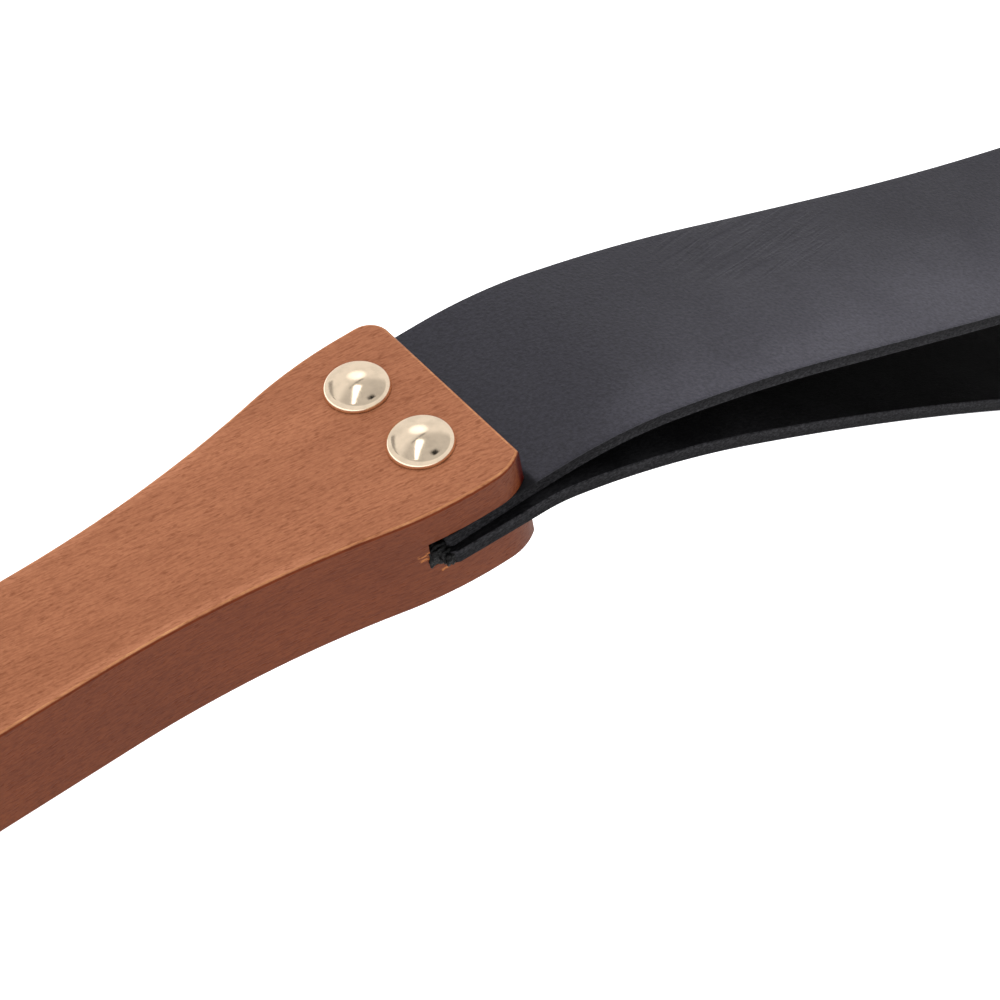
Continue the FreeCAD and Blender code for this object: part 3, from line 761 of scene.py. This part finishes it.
def make_glue():
    """A lumpy crumb of black glue in the slot's inner end, against the straps' ends, spread over the slot's
    floor where it stands in for the shade there.
    """
    points, faces = [], []
    for number, (middle, half_size) in enumerate(GLUE_LUMPS):
        base = len(points)
        for ring in range(LUMP_RINGS + 1):
            polar = math.pi * ring / LUMP_RINGS
            steps = 1 if ring in (0, LUMP_RINGS) else LUMP_STEPS
            for step in range(steps):
                turn = 2 * math.pi * step / LUMP_STEPS
                flat = math.sin(polar)
                outward = Vector((flat * math.cos(turn), flat * math.sin(turn), math.cos(polar)))
                spread = lump_spread(outward, number)
                reach = [half * spread * part for half, part in zip(half_size, outward)]
                points.append(place(*(start + part for start, part in zip(middle, reach))))
        last = len(points) - 1
        for step in range(LUMP_STEPS):
            following = (step + 1) % LUMP_STEPS
            bottom_ring = last - LUMP_STEPS
            faces.append((base, base + 1 + step, base + 1 + following))
            faces.append((last, bottom_ring + following, bottom_ring + step))
            for ring in range(LUMP_RINGS - 2):
                above = base + 1 + ring * LUMP_STEPS
                below = above + LUMP_STEPS
                faces.append((above + step, below + step, below + following, above + following))
    piece = new_piece("slot_glue_and_shade", points, faces, GLUE)
    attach(piece, "handle")


make_glue()


# ---------------------------------------------------------------- the rivets' caps

LATHE_STEPS = 128
DOME_STEPS = 24
SHOULDER_STEPS = 12


def cap_profile():
    """(radius, height) from the dome's top, over its rolled shoulder to the wood, then up inside."""
    centre = CAP_RADIUS - CAP_SHOULDER
    drop = CAP_HEIGHT - CAP_SHOULDER_HEIGHT
    dome = (centre**2 + drop**2 - CAP_SHOULDER**2) / (2 * (drop - CAP_SHOULDER))
    slope = math.asin(centre / (dome - CAP_SHOULDER))
    outline = []
    for step in range(DOME_STEPS + 1):
        angle = slope * step / DOME_STEPS
        outline.append((dome * math.sin(angle), CAP_HEIGHT - dome * (1 - math.cos(angle))))
    for step in range(1, SHOULDER_STEPS + 1):
        angle = slope + (math.pi / 2 - slope) * step / SHOULDER_STEPS
        height = CAP_SHOULDER_HEIGHT + CAP_SHOULDER * math.cos(angle)
        outline.append((centre + CAP_SHOULDER * math.sin(angle), height))
    return outline + [(CAP_RADIUS - inset, height) for inset, height in CAP_INSIDE]


def make_cap(rivet, level):
    """The cap's profile turned about the rivet's axis; on the axis a ring is a single point."""
    x, y = RIVETS[rivet]
    top = level == "top"
    points, faces, rings = [], [], []
    for radius, height in cap_profile():
        z = HANDLE_THICKNESS + height if top else -height
        steps = LATHE_STEPS if radius > TINY else 1
        rings.append([len(points) + step % steps for step in range(LATHE_STEPS)])
        for step in range(steps):
            turn = 2 * math.pi * step / LATHE_STEPS
            points.append(place(x + radius * math.cos(turn), y + radius * math.sin(turn), z))
    for ring, next_ring in zip(rings, rings[1:]):
        for step in range(LATHE_STEPS):
            following = (step + 1) % LATHE_STEPS
            face = [ring[step], ring[following], next_ring[following], next_ring[step]]
            face = [corner for index, corner in enumerate(face) if corner not in face[:index]]
            faces.append(tuple(reversed(face) if top else face))
    piece = new_piece(f"{rivet}_{level}_cap", points, faces, GOLD)
    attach(piece, "handle")
    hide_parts(f"{rivet}_rivet_{level}_cap")


for rivet in RIVETS:
    for level in ("top", "bottom"):
        make_cap(rivet, level)


# ---------------------------------------------------------------- materials of the CAD nodes that stay


def cover(node, material):
    for material_slot in frame["nodes"][node].material_slots:
        material_slot.material = material


cover("wooden_handle", WOOD)
for rivet in RIVETS:
    cover(f"{rivet}_rivet_post", STEEL)
    cover(f"{rivet}_rivet_socket", STEEL)


# ---------------------------------------------------------------- camera, floor and lights

CAMERA_LENS = 94.36
CAMERA_AZIMUTH, CAMERA_ELEVATION, CAMERA_ROLL = -44.12, 38.13, 10.99
CAMERA_AIM = (-0.03, -7.37, -17.8)  # from the upper strap's flex line
CAMERA_DISTANCE = 0.46409
FLOOR_HALF_SIZE = 6.0  # metres
FLOOR_SHADE = 0.55
FLOOR_GLOW = 0.92
WALLS = 0.90  # radiance of the studio at the horizon
CEILING = 0.60
CEILING_EDGE = (0.76, 0.86)  # upward part of the directions between which the walls become the ceiling
STREAK = 2.2  # added radiance of the gap between the ceiling's cloths
SEAM = 0.55  # radiance that a seam of the cloths takes away
PATCH = 0.9  # added radiance of a soft patch on the far wall
PATCH_AT = (0.18, 0.686, 0.705)
PATCH_ANGLES = (0.02, 0.16)  # radians from its middle to its full part's edge and to its end
LENS_DARKNESS = 0.97

# stripes of the studio, each from one direction to another, with its half widths there in radians
STREAK_ARC = ((0.03, 0.50, 0.86), (-0.36, 0.16, 0.92), 0.085, 0.035)
LENS_ARC = ((-0.03, 0.115, 0.99), (0.10, 0.15, 0.985), 0.10, 0.08)
SEAM_ARCS = [
    ((-0.08, 0.85, 0.52), (-0.44, 0.52, 0.73), 0.05, 0.035),
    ((-0.10, 0.54, 0.83), (0.20, 0.57, 0.80), 0.016, 0.022),
]
ARC_SOFTNESS = 0.03  # radians over which a stripe's two ends fade

LIT_POINT = (-12, 0, HANDLE_THICKNESS)  # between the rivets
LIGHTS = [
    # name, direction from the rivets, distance, size, radiance, direction of the long side
    ("strip", (-0.17, 0.30, 0.93), 1.6, (1.45, 0.30), 16, (0.62, 0.55, 0)),
    ("back", (0.22, 0.70, 0.68), 1.6, (0.5, 0.25), 1.6, (1, 0, 0)),
    ("right", (0.72, 0.52, 0.46), 1.8, (1.0, 0.9), 1.6, (0, 0, 1)),
]


def turned(azimuth, elevation, roll=0.0):
    """Camera axes for a view from that azimuth and elevation, in degrees."""
    a, e, r = (math.radians(angle) for angle in (azimuth, elevation, roll))
    back = Vector((math.sin(a) * math.cos(e), -math.cos(a) * math.cos(e), math.sin(e)))
    right = Vector((math.cos(a), math.sin(a), 0))
    up = back.cross(right)
    right, up = right * math.cos(r) + up * math.sin(r), up * math.cos(r) - right * math.sin(r)
    return Matrix((right, up, back)).transposed()


def add_camera():
    data = bpy.data.cameras.new("camera")
    data.lens = CAMERA_LENS
    data.sensor_width = 36.0
    camera = bpy.data.objects.new("camera", data)
    axes = turned(CAMERA_AZIMUTH, CAMERA_ELEVATION, CAMERA_ROLL)
    aim = joints["upper_strap_flex"] + Vector(CAMERA_AIM) * MM
    camera.matrix_world = Matrix.Translation(aim + axes.col[2] * CAMERA_DISTANCE) @ axes.to_4x4()
    bpy.context.scene.collection.objects.link(camera)
    bpy.context.scene.camera = camera


def add_area_light(name, toward, distance, size, radiance, along):
    """A rectangle that faces the rivets from one direction, its long side along another."""
    data = bpy.data.lights.new(name, "AREA")
    data.shape = "RECTANGLE"
    data.size, data.size_y = size
    data.energy = radiance * math.pi * size[0] * size[1]
    light = bpy.data.objects.new(name, data)
    back = Vector(toward).normalized()
    right = Vector(along) - back * back.dot(Vector(along))
    right.normalize()
    axes = Matrix((right, back.cross(right), back)).transposed()
    middle = place(*LIT_POINT)
    light.matrix_world = Matrix.Translation(middle + back * distance) @ axes.to_4x4()
    light.visible_camera = False
    light.visible_glossy = False  # the polished caps mirror the studio's cloths, not the lamps behind them
    bpy.context.scene.collection.objects.link(light)


def add_floor():
    s = Shader("pale_floor")
    s.use(Base_Color=(FLOOR_SHADE, FLOOR_SHADE, FLOOR_SHADE, 1), Roughness=0.9, Specular_IOR_Level=0.1)
    s.use(Emission_Color=(1, 1, 1, 1), Emission_Strength=FLOOR_GLOW)
    half = FLOOR_HALF_SIZE
    corners = [(-half, -half, 0), (half, -half, 0), (half, half, 0), (-half, half, 0)]
    floor = new_piece("floor", corners, [(0, 1, 2, 3)], s.material, smooth=False)


def stripe(n, direction, start, end, start_width, end_width):
    """1 along the arc between two directions, with soft edges."""
    start, end = Vector(start).normalized(), Vector(end).normalized()
    pole = start.cross(end).normalized()
    along = n.math("ARCTAN2", n.dot(direction, pole.cross(start)), n.dot(direction, start))
    across = n.math("ABSOLUTE", n.dot(direction, pole))
    whole = start.angle(end)
    width = n.ramp(along, 0.0, whole, start_width, end_width)
    sides = n.ramp(n.math("DIVIDE", across, width), 0.3, 1.0, 1.0, 0.0)
    begun = n.ramp(along, -ARC_SOFTNESS, ARC_SOFTNESS)
    ended = n.ramp(along, whole - ARC_SOFTNESS, whole + ARC_SOFTNESS, 1.0, 0.0)
    return n.product(sides, n.product(begun, ended))


def spot_of(n, direction, middle, inner, outer):
    """1 within the inner angle of a direction, 0 beyond the outer one, in radians."""
    near = n.dot(direction, Vector(middle).normalized())
    return n.ramp(near, math.cos(outer), math.cos(inner))


def add_world():
    """A plain studio: pale walls, a darker ceiling with a bright gap and two seams, and a dark lens above."""
    world = bpy.data.worlds.new("studio")
    world.use_nodes = True
    bpy.context.scene.world = world
    n = Nodes(world.node_tree)
    direction = n.coordinates("Generated")
    _, _, up = n.split(direction)
    level = n.ramp(up, *CEILING_EDGE, WALLS, CEILING)
    for arc in SEAM_ARCS:
        level = n.math("SUBTRACT", level, n.product(stripe(n, direction, *arc), SEAM))
    level = n.total(level, n.product(stripe(n, direction, *STREAK_ARC), STREAK))
    level = n.total(level, n.product(spot_of(n, direction, PATCH_AT, *PATCH_ANGLES), PATCH))
    lens = n.product(stripe(n, direction, *LENS_ARC), LENS_DARKNESS)
    level = n.product(level, n.math("SUBTRACT", 1.0, lens))
    background = world.node_tree.nodes["Background"]
    n.feed(background.inputs["Strength"], level)
    background.inputs["Color"].default_value = (1, 1, 1, 1)


add_camera()
add_floor()
add_world()
for light in LIGHTS:
    add_area_light(*light)
bpy.context.scene.view_settings.view_transform = "Standard"
